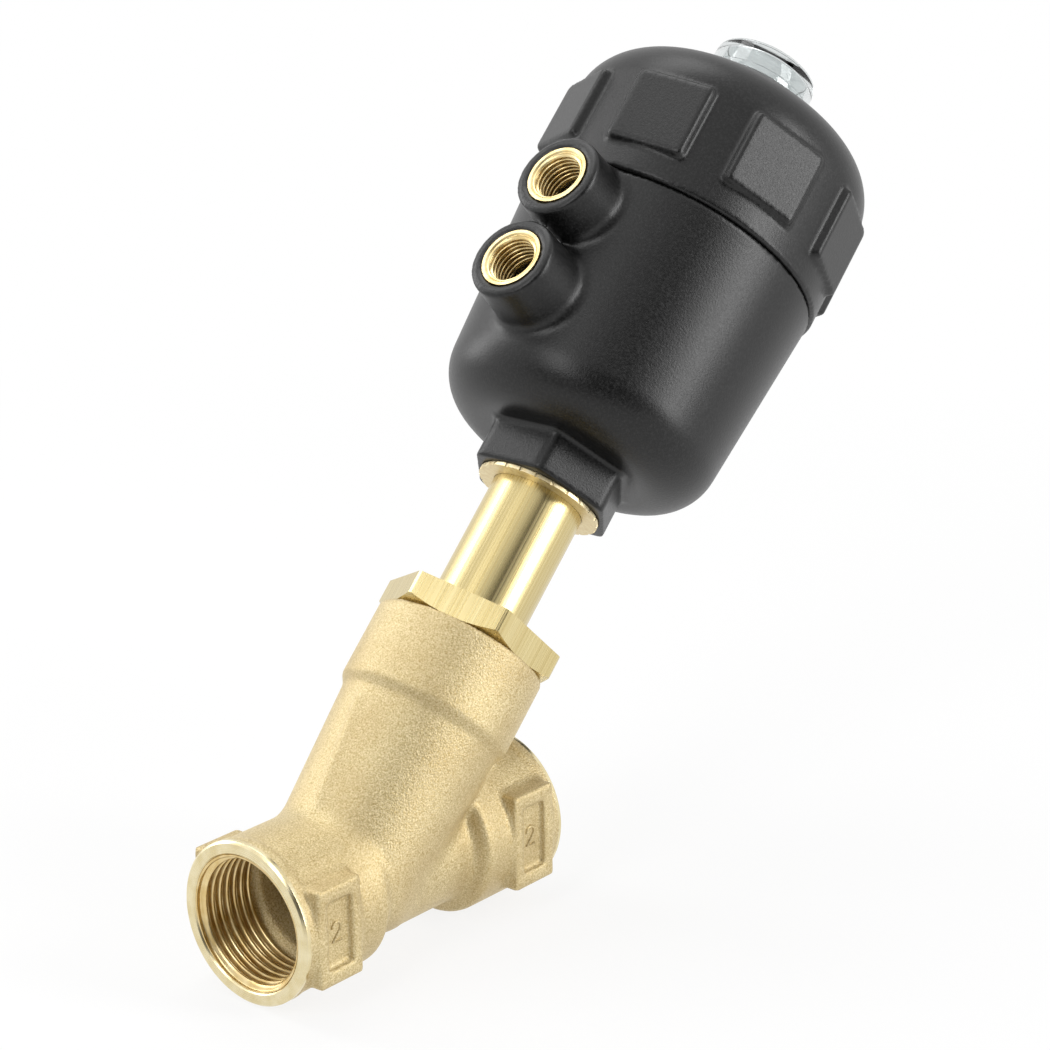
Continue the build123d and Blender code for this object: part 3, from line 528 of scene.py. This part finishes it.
# the housing: a turned shell joined to its hexagon and to two conical bosses with a rib
# between them, less its bore, the neck's bore and the two air ports
def housingField(u, v, s):
    h = housing
    out = np.hypot(u, v)
    outer = outlineField(out, s, rounded([
        (pastAxis, h["bottom"]), (h["footRadius"], h["bottom"]), (h["topRadius"], h["top"]),
        (pastAxis, h["top"]),
    ], (0, h["footFillet"], 0, 0), step=6))
    flats = hexagonField(u, v, h["hexAcross"], h["hexCorner"], h["hexRound"])
    below = h["hexLow"] - s
    hexagon = np.maximum(flats, np.maximum(below, s - h["floor"]))
    edgeBreak, edgeBlend = h["hexEdge"]
    lowEdge = common(np.maximum(flats, below), below, edgeBreak)
    solid = joined(outer, common(hexagon, lowEdge, edgeBlend), h["hexFootBlend"])
    slope = (h["bossTop"] - h["bossFoot"]) / (h["bossFace"] - h["bossFootPlace"])
    cone = h["bossFoot"] + slope * (u - h["bossFootPlace"])
    bossEnds = np.maximum(u - h["bossFace"], h["bossRoot"] - u)
    rings = [np.hypot(v, s - place) for place in h["bossPlaces"]]
    ports = np.minimum(*(common(ring - cone, bossEnds, h["bossEdge"]) for ring in rings))
    rib = np.maximum(np.abs(v) - h["ribHalf"], np.maximum(u - h["ribReach"], h["bossRoot"] - u))
    rib = np.maximum(rib, np.abs(s - sum(h["bossPlaces"]) / 2) - h["ribHalfHeight"])
    ports = joined(ports, rib, h["ribBlend"])
    solid = joined(solid, ports, h["bossBlend"])
    # room for the cover's rim beside the upper boss
    rimRoom = tubeField(
        out, s, h["coverRadius"] + h["coverRoom"], h["top"], h["top"] + h["coverRoomHeight"],
    )
    solid = np.maximum(solid, -rimRoom)
    seatLow = h["top"] - h["seatDepth"]
    hollow = outlineField(out, s, rounded([
        (pastAxis, h["floor"]), (h["bore"], h["floor"]), (h["bore"], seatLow),
        (h["seat"], seatLow), (h["seat"], h["hollowTop"]), (pastAxis, h["hollowTop"]),
    ], (0, h["floorFillet"], 0, 0, 0, 0)))
    hollow = np.minimum(hollow, tubeField(out, s, h["neckBore"], *h["neckBoreEnds"]))
    insertFloor = h["bossFace"] - h["insertDepth"]
    for ring in rings:
        hollow = np.minimum(hollow, tubeField(ring, u, h["insertRadius"], insertFloor, beyond))
        hollow = np.minimum(hollow, tubeField(ring, u, h["airHole"], h["airHoleStart"], beyond))
    return without(solid, hollow, h["edgeBlend"])


shell = surfaceNet("actuator_housing_shell", housingField, housing, stemAxes, stemFoot)
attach(shell, "actuator")
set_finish(shell, "black_polyamide")
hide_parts("actuator_housing")
print("housing:", len(shell.data.polygons), "quads")

crown = {
    "cell": 0.69, "gridLow": (-45, -45, 173), "gridHigh": (45, 45, 235.5),
    "radius": housing["coverRadius"], "low": 175.0, "skirt": 36.5, "joint": housing["top"],
    "flat": 233.0,
    "flatRadius": 15.5, "slope": 28.0, "shoulder": 15.0, "innerShoulder": 7.5, "crownEdge": 8.0,
    "wall": 3.0, "inner": 33.0, "collar": 15.5, "collarLow": 224.0, "hollowLow": 173.0,
    "capHole": 12.0, "capHoleEnds": (222.0, 235.0), "edgeBlend": 0.35,
    "padCount": 8, "padTurn": 14.5, "padWidth": 20.4, "padLow": 189.8, "padHigh": 209.8,
    "padRoot": 30.0, "padFace": 41.9, "padDraft": 0.32, "padRound": 1.5, "padCorner": 0.5,
    "padBlend": 0.35, "springRib": (21.0, 25.0), "springRibLow": 220.0,
}


# the height of the cover's sloping top at a radius: a straight fall from the flat's edge
def slopeHeight(radius):
    return crown["flat"] - (radius - crown["flatRadius"]) * math.tan(math.radians(crown["slope"]))


# the cover: a turned dome with flat pads at even turns, each a box that widens with depth,
# less its turned inside, but for a rib that keeps the springs in place, and the cap's hole
def crownField(u, v, s):
    c = crown
    out = np.hypot(u, v)
    outer = outlineField(out, s, rounded([
        (pastAxis, c["low"]), (c["skirt"], c["low"]), (c["skirt"], c["joint"]),
        (c["radius"], c["joint"]), (c["radius"], slopeHeight(c["radius"])),
        (c["flatRadius"], c["flat"]), (pastAxis, c["flat"]),
    ], (0, 0, 0, 0, c["shoulder"], c["crownEdge"], 0), step=5))
    turn = np.arctan2(v, u) - math.radians(c["padTurn"])
    step = 2 * math.pi / c["padCount"]
    turn = (turn + step / 2) % step - step / 2
    sideways = np.abs(out * np.sin(turn)) - c["padWidth"] / 2
    upward = np.abs(s - (c["padLow"] + c["padHigh"]) / 2) - (c["padHigh"] - c["padLow"]) / 2
    reach = out * np.cos(turn)
    slack = (c["padFace"] - reach) * c["padDraft"]
    flatten = 1 / math.hypot(1, c["padDraft"])
    pad = common((sideways - slack) * flatten, (upward - slack) * flatten, c["padRound"])
    pad = common(pad, reach - c["padFace"], c["padCorner"])
    pad = np.maximum(pad, c["padRoot"] - reach)
    solid = joined(outer, pad, c["padBlend"])
    wall = c["wall"] / math.cos(math.radians(c["slope"]))
    hollow = outlineField(out, s, rounded([
        (pastAxis, c["hollowLow"]), (c["inner"], c["hollowLow"]),
        (c["inner"], slopeHeight(c["inner"]) - wall), (c["collar"], slopeHeight(c["collar"]) - wall),
        (c["collar"], c["collarLow"]), (pastAxis, c["collarLow"]),
    ], (0, 0, c["innerShoulder"], 0, 0, 0)))
    ribInner, ribOuter = c["springRib"]
    rib = np.maximum(np.maximum(ribInner - out, out - ribOuter), c["springRibLow"] - s)
    hollow = np.maximum(hollow, -rib)
    hollow = np.minimum(hollow, tubeField(out, s, c["capHole"], *c["capHoleEnds"]))
    return without(solid, hollow, c["edgeBlend"])


cover = surfaceNet("actuator_cover_shell", crownField, crown, stemAxes, stemFoot)
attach(cover, "actuator")
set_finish(cover, "black_polyamide")
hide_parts("actuator_cover")
print("cover:", len(cover.data.polygons), "quads")

for side, place in zip(("lower", "upper"), housing["bossPlaces"]):
    face = stemFoot + stemAxes[2] * place + stemAxes[0] * housing["bossFace"]
    inward = np.array([stemAxes[1], -stemAxes[2], -stemAxes[0]])
    thread = threadSleeve(f"{side}_air_thread", airThread, inward, face)
    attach(thread, "actuator")
    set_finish(thread, "port_brass")
print("air ports: threads")

cap = {
    "spigotBore": 9.4, "spigotLow": 226.0, "spigotRadius": 11.95,
    "floor": crown["flat"], "flangeGap": 0.05, "flangeRadius": 15.1, "flangeTop": 234.9,
    "footRadius": 14.5, "topRadius": 13.9, "top": 242.3, "ceiling": 240.4, "bore": 11.4,
    "rounds": (0.2, 0.2, 0, 0.3, 0.4, 0.5, 1.3, 0, 0, 0.8, 0.3, 0.3), "segments": 128,
}
flangeLow = cap["floor"] + cap["flangeGap"]
capOutline = rounded([
    (cap["spigotBore"], cap["spigotLow"]), (cap["spigotRadius"], cap["spigotLow"]),
    (cap["spigotRadius"], flangeLow), (cap["flangeRadius"], flangeLow),
    (cap["flangeRadius"], cap["flangeTop"]), (cap["footRadius"], cap["flangeTop"]),
    (cap["topRadius"], cap["top"]), (0.0, cap["top"]), (0.0, cap["ceiling"]),
    (cap["bore"], cap["ceiling"]), (cap["bore"], cap["floor"]), (cap["spigotBore"], cap["floor"]),
], cap["rounds"])
window = turned("clear_cap", capOutline, stemAxes, stemFoot, cap["segments"])
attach(window, "actuator")
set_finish(window, "clear_cap")
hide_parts("indicator_cap")
print("cap: window")

returnSprings = {
    "return_spring_outer": {"mean": 22.0, "wire": 2.2, "turns": 8},
    "return_spring_inner": {"mean": 15.0, "wire": 1.5, "turns": 10},
}
springSeat = {
    "low": 142.0, "high": upStem(lift["deforming_nodes"][0]["fixed_end_m"]),
    "stroke": round(lift["range_m"][1] / metre, 2), "closedTurn": 2.1, "stepsPerTurn": 56, "sides": 14,
}


# a round wire wound about the stem: its angle grows evenly, its height climbs by little
# more than the wire's thickness in the first and last turn and evenly between them
def woundWire(name, mean, wire, turns):
    turn = np.linspace(0, turns, turns * springSeat["stepsPerTurn"] + 1)
    rise = springSeat["high"] - springSeat["low"] - 2 * wire
    closedTurn = springSeat["closedTurn"] * wire
    climb = np.interp(turn, [0, 1, turns - 1, turns], [0, closedTurn, rise - closedTurn, rise])
    height = springSeat["low"] + wire + climb
    angle = 2 * math.pi * turn
    outward = np.stack([np.cos(angle), np.sin(angle), np.zeros(len(turn))], axis=1)
    centres = outward * mean
    centres[:, 2] = height
    return sweptWire(
        name, centres, outward, np.array([0, 0, 1]), wire, springSeat["sides"], stemAxes, stemFoot,
    )


for node, coil in returnSprings.items():
    piece = woundWire(f"{node}_coil", **coil)
    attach(piece, "actuator")
    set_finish(piece, "spring_steel")
    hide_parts(node)
    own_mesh(piece)


# a linear colour from a six-digit screen colour
def tint(code):
    parts = [int(code[i:i + 2], 16) / 255 for i in (0, 2, 4)]
    return (*(p / 12.92 if p <= 0.04045 else ((p + 0.055) / 1.055) ** 2.4 for p in parts), 1)


# a node tree being built, for a material or for the world
class NodeBench:
    def __init__(self, owner, mainNode):
        owner.use_nodes = True
        self.owner = owner
        self.tree = owner.node_tree
        self.main = self.tree.nodes[mainNode]

    # another node's output becomes a link, and anything else is the socket's constant
    def feed(self, socket, value):
        if hasattr(value, "is_output"):
            self.tree.links.new(value, socket)
        else:
            socket.default_value = value

    def node(self, kind, inputs=(), **settings):
        made = self.tree.nodes.new(kind)
        for key, value in settings.items():
            setattr(made, key, value)
        for key, value in dict(inputs).items():
            self.feed(made.inputs[key], value)
        return made

    def maths(self, operation, first, second=0.0):
        return self.node("ShaderNodeMath", {0: first, 1: second}, operation=operation).outputs[0]

    def span(self, value, low, high, toLow, toHigh):
        return self.node("ShaderNodeMapRange", {
            "Value": value, "From Min": low, "From Max": high, "To Min": toLow, "To Max": toHigh,
        }).outputs["Result"]

    # spreads a noise, which mostly lies between 0.3 and 0.7, over another range
    def spread(self, noise, toLow=0.0, toHigh=1.0):
        return self.span(noise, 0.3, 0.7, toLow, toHigh)

    # one for rays from the camera and for mirrored and refracted ones, else zero
    def seenRays(self):
        rays = self.node("ShaderNodeLightPath").outputs
        direct = self.maths("MAXIMUM", rays["Is Camera Ray"], rays["Is Glossy Ray"])
        return self.maths("MAXIMUM", direct, rays["Is Transmission Ray"])


# a material being built, with its place on the object
class Finish(NodeBench):
    def __init__(self, name):
        super().__init__(bpy.data.materials.new(name), "Principled BSDF")
        self.place = self.node("ShaderNodeTexCoord").outputs["Object"]

    def noise(self, scale, detail=2.0, roughness=0.5, place=None):
        return self.node("ShaderNodeTexNoise", {
            "Vector": place or self.place, "Scale": scale, "Detail": detail, "Roughness": roughness,
        }).outputs["Fac"]

    # fine lines that depend on one distance only, such as tool marks
    def lines(self, distance, scale, detail=3.0):
        return self.node("ShaderNodeTexNoise", {
            "W": distance, "Scale": scale, "Detail": detail,
        }, noise_dimensions="1D").outputs["Fac"]

    def mix(self, share, first, second):
        return self.node("ShaderNodeMix", {0: share, 6: first, 7: second}, data_type="RGBA").outputs[2]

    def vector(self, operation, inputs, output=0):
        return self.node("ShaderNodeVectorMath", inputs, operation=operation).outputs[output]

    # how far a place lies along an axis through an origin, in metres
    def along(self, axis, origin):
        shifted = self.vector("SUBTRACT", {0: self.place, 1: origin})
        return self.vector("DOT_PRODUCT", {0: shifted, 1: axis}, "Value")

    # the part of a place that lies square to an axis, as a vector
    def across(self, axis, origin):
        shifted = self.vector("SUBTRACT", {0: self.place, 1: origin})
        part = self.vector("SCALE", {0: axis, "Scale": self.along(axis, origin)})
        return self.vector("SUBTRACT", {0: shifted, 1: part})

    def length(self, vector):
        return self.vector("LENGTH", {0: vector}, "Value")

    # under is a coarser normal that this height is laid over
    def bump(self, height, distance, strength, under=None):
        inputs = {"Height": height, "Distance": distance, "Strength": strength}
        if under:
            inputs["Normal"] = under
        return self.node("ShaderNodeBump", inputs).outputs["Normal"]

    def paint(self, colour, roughness, normal=None, **constants):
        self.feed(self.main.inputs["Base Color"], colour)
        self.feed(self.main.inputs["Roughness"], roughness)
        if normal:
            self.feed(self.main.inputs["Normal"], normal)
        for key, value in constants.items():
            self.main.inputs[key.replace("_", " ")].default_value = value
        return self.owner


# colour: fine grain between two tones, a little deeper in broad soft patches
# height: blasted grain over a slow casting waviness
def castGunmetal(name, light, dark, patchTone, grain, patches, roughness, metallic):
    f = Finish(name)
    speck = f.noise(grain, 2.0, 0.6)
    patch = f.noise(patches, 2.0)
    colour = f.mix(f.spread(speck), tint(dark), tint(light))
    colour = f.mix(f.span(patch, 0.35, 0.7, 0.0, 0.22), colour, tint(patchTone))
    blasted = f.bump(f.noise(grain * 0.8, 3.0, 0.6), distance=0.00022, strength=0.9)
    normal = f.bump(patch, distance=0.0006, strength=0.3, under=blasted)
    return f.paint(
        colour, f.spread(speck, *roughness), normal, Metallic=metallic, Specular_IOR_Level=0.5,
    )


# colour: two tones in soft smears; height and roughness: rings left by a turning tool, a
# noise of the reach along the axis, or of the distance from it where radial is set
def turnedMetal(name, light, dark, axis, origin, roughness, marks=2600, radial=False):
    f = Finish(name)
    reach = f.length(f.across(axis, origin)) if radial else f.along(axis, origin)
    ring = f.lines(reach, marks)
    smear = f.noise(260, 2.0)
    colour = f.mix(f.span(smear, 0.35, 0.65, 0, 1), tint(dark), tint(light))
    rough = f.span(ring, 0.35, 0.65, roughness * 0.8, roughness * 1.35)
    return f.paint(colour, rough, f.bump(ring, distance=0.00004, strength=0.3), Metallic=1.0)


# colour and height: fine lines along an axis, from noises of the place square to it
def milledMetal(name, light, dark, axis, origin, roughness):
    f = Finish(name)
    flat = f.across(axis, origin)
    line = f.noise(1900, 2.0, 0.6, flat)
    broad = f.noise(330, 2.0, 0.5, flat)
    share = f.maths("MULTIPLY", f.maths("ADD", line, broad), 0.5)
    colour = f.mix(f.spread(share), tint(dark), tint(light))
    rough = f.spread(line, roughness * 0.8, roughness * 1.25)
    return f.paint(colour, rough, f.bump(line, distance=0.00006, strength=0.4), Metallic=1.0)


# colour: glass-fibre flecks in a dark ground; height: fine spark-eroded grain
def mouldedPolyamide(name, light, dark, roughness, grain=1500):
    f = Finish(name)
    fleck = f.noise(grain, 2.0, 0.65)
    colour = f.mix(f.span(fleck, 0.45, 0.75, 0, 1), tint(dark), tint(light))
    normal = f.bump(f.noise(grain * 1.3, 2.0, 0.6), distance=0.00012, strength=0.4)
    rough = f.spread(fleck, roughness * 0.88, roughness * 1.12)
    return f.paint(colour, rough, normal, Specular_IOR_Level=0.42)


# colour, roughness and height follow one noise
def plainGrain(name, light, dark, roughness, metallic, grain, depth):
    f = Finish(name)
    speck = f.noise(grain, 3.0)
    colour = f.mix(f.spread(speck), tint(dark), tint(light))
    rough = f.spread(speck, roughness * 0.85, roughness * 1.15)
    return f.paint(colour, rough, f.bump(speck, depth, strength=0.4), Metallic=metallic)


# clear and nearly smooth: a slow noise gives faint moulding waves in height and roughness
def clearPlastic(name, colour, waves, roughness):
    f = Finish(name)
    wave = f.noise(waves, 2.0)
    return f.paint(
        tint(colour), f.spread(wave, *roughness), f.bump(wave, distance=0.0003, strength=0.12),
        Transmission_Weight=1.0, IOR=1.49,
    )


# scales are in waves per metre, and tones are screen colours
pipeLine = {"axis": (1, 0, 0), "origin": (0, 0, 0)}
stemLine = {"axis": stemDirection, "origin": tuple(stemFoot * metre)}
airLine = {"axis": tuple(stemAxes[0]), "origin": (0, 0, 0)}
gunmetal = castGunmetal(
    "cast gunmetal", light="e9dab0", dark="ae965f", patchTone="a3844e", grain=2600, patches=70,
    roughness=(0.36, 0.56), metallic=0.62,
)
lipBrass = turnedMetal(
    "turned lip", "ecdfb8", "e0d0a2", **pipeLine, roughness=0.26, marks=3000, radial=True,
)
threadBrass = turnedMetal("cut thread", "f2ddaa", "dcc082", **pipeLine, roughness=0.34, marks=1800)
airBrass = turnedMetal("air thread", "f6e4b0", "e2c88c", **airLine, roughness=0.34, marks=2000)
bonnetBrass = milledMetal("bonnet brass", "dccd9c", "c6b27a", **stemLine, roughness=0.28)
stainless = turnedMetal("stainless", "c9c9c6", "a9a9a7", **stemLine, roughness=0.25)
blackShell = mouldedPolyamide("moulded shell", "222222", "0c0c0c", roughness=0.37)
darkPiston = mouldedPolyamide("piston polyamide", "46433d", "24231f", roughness=0.5)
clearCap = clearPlastic("clear cap", "dfe3e3", waves=120, roughness=(0.015, 0.05))
insertBrass, springSteel, ptfe, rubber, yellow = (
    plainGrain(name, light, dark, roughness, metallic, grain, depth)
    for name, light, dark, roughness, metallic, grain, depth in (
        ("insert brass", "f0e4c0", "ddc898", 0.45, 0.9, 900, 0.00005),
        ("spring steel", "9a9ca2", "7b7d84", 0.32, 1.0, 700, 0.00003),
        ("ptfe", "eeebe2", "dcd8cc", 0.45, 0.0, 600, 0.00003),
        ("rubber", "262626", "151515", 0.6, 0.0, 900, 0.00003),
        ("indicator yellow", "e6c440", "c9a324", 0.4, 0.0, 600, 0.00003),
    )
)

slotFinish = {
    "gunmetal": gunmetal, "turned_brass": bonnetBrass, "pale_brass": insertBrass,
    "port_brass": airBrass, "black_polyamide": blackShell, "dark_polyamide": darkPiston,
    "clear_cap": clearCap, "stainless": stainless, "spring_steel": springSteel, "ptfe": ptfe,
    "rubber": rubber, "indicator_yellow": yellow,
}
ownFinish = {
    "inlet_lip": lipBrass, "outlet_lip": lipBrass,
    "inlet_thread": threadBrass, "outlet_thread": threadBrass,
}
nodeSlots = {part["node"]: part["material_slot"] for part in frame["record"]["subparts"]}
for piece in [thing for thing in bpy.context.scene.objects if thing.type == "MESH"]:
    slotName = piece.get("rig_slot") or nodeSlots[piece.name]
    piece.data.materials.clear()
    piece.data.materials.append(ownFinish.get(piece.name) or slotFinish[slotName])
print("materials: every piece has its finish")

# near the object the floor keeps its shadow, and far away it is plain white
ground = {
    "size": 6.0, "height": -0.0205, "tone": "f2f2f2", "roughness": 0.9,
    "near": 0.2, "far": 0.6, "plainness": (0.84, 1.0),
}
floorMesh = bpy.data.meshes.new("floor")
floorMesh.from_pydata([
    (x * ground["size"], y * ground["size"], ground["height"])
    for x, y in ((-1, -1), (1, -1), (1, 1), (-1, 1))
], [], [(0, 1, 2, 3)])
floor = addObject("floor", floorMesh)
floorFinish = Finish("floor")
floor.data.materials.append(floorFinish.paint(tint(ground["tone"]), ground["roughness"]))
plainness = floorFinish.span(
    floorFinish.length(floorFinish.place), ground["near"], ground["far"], *ground["plainness"],
)
glow = floorFinish.node("ShaderNodeEmission", {"Color": (1, 1, 1, 1), "Strength": 1.0})
blend = floorFinish.node("ShaderNodeMixShader", {
    0: floorFinish.maths("MULTIPLY", floorFinish.seenRays(), plainness),
    1: floorFinish.main.outputs[0], 2: glow.outputs[0],
})
floorFinish.feed(floorFinish.tree.nodes["Material Output"].inputs["Surface"], blend.outputs[0])

# the surround is white where it is seen, and lights the object at half that strength
surround = {"light": 0.5, "seen": 1.0}
world = bpy.data.worlds.new("studio")
bpy.context.scene.world = world
sky = NodeBench(world, "Background")
strength = sky.span(sky.seenRays(), 0.0, 1.0, surround["light"], surround["seen"])
sky.feed(sky.main.inputs["Color"], (1, 1, 1, 1))
sky.feed(sky.main.inputs["Strength"], strength)

view = {
    "place": (-0.40693, -0.44136, 0.28936), "turn": (72.024, 0.905, -49.296), "lens": 97.63,
    "sensor": 36.0,
}
middle = Vector((0.10, 0.0, 0.08))  # where the lamps point
lamps = {
    "key": {"place": (0.42, -0.95, 0.38), "size": (0.30, 0.9), "power": 8.5},
    "side": {"place": (-0.80, -0.10, 0.70), "size": (0.35, 0.7), "power": 3.7},
    "top": {"place": (0.25, 0.35, 1.10), "size": (0.8, 0.5), "power": 3.6},
    "rim": {"place": (-0.12, 0.80, 0.45), "size": (0.25, 0.8), "power": 3.0},
}
for name, lamp in lamps.items():
    data = bpy.data.lights.new(name, "AREA")
    data.shape = "RECTANGLE"
    data.size, data.size_y = lamp["size"]
    data.energy = lamp["power"]
    light = addObject(name, data)
    light.location = lamp["place"]
    light.rotation_euler = (middle - light.location).to_track_quat("-Z", "Y").to_euler()

# dark curtains behind the camera, which polished surfaces need to show their shape
curtain = {
    "gap": 1.15, "width": 2.2, "height": 1.8, "centre": 0.35, "turns": (-14, 40),
    "tones": ("2a2a2a", "343434"), "folds": 30, "roughness": 0.9,
}
towardCamera = (Vector(view["place"]) - middle) * Vector((1, 1, 0))
towardCamera.normalize()
curtainFinish = Finish("dark curtain")
folds = curtainFinish.noise(curtain["folds"], 2.0)
darkTone, paleTone = (tint(tone) for tone in curtain["tones"])
curtainCloth = curtainFinish.paint(
    curtainFinish.mix(folds, darkTone, paleTone), curtain["roughness"],
)
for number, turn in enumerate(curtain["turns"]):
    aim = Matrix.Rotation(math.radians(turn), 3, "Z") @ towardCamera
    aside = Vector((-aim.y, aim.x, 0)) * curtain["width"] / 2
    rise = Vector((0, 0, curtain["height"] / 2))
    centre = Vector((middle.x, middle.y, curtain["centre"])) + aim * curtain["gap"]
    cloth = bpy.data.meshes.new(f"curtain_{number}")
    cloth.from_pydata([
        centre - aside - rise, centre + aside - rise, centre + aside + rise, centre - aside + rise,
    ], [], [(0, 1, 2, 3)])
    cloth.materials.append(curtainCloth)
    hanging = addObject(f"curtain_{number}", cloth)
    hanging.visible_camera = False

cameraData = bpy.data.cameras.new("camera")
cameraData.lens = view["lens"]
cameraData.sensor_width = view["sensor"]
camera = addObject("camera", cameraData)
camera.location = view["place"]
camera.rotation_euler = [math.radians(angle) for angle in view["turn"]]
bpy.context.scene.camera = camera
bpy.context.scene.view_settings.view_transform = "Standard"
print("stage: floor, surround, lamps, curtains, camera")
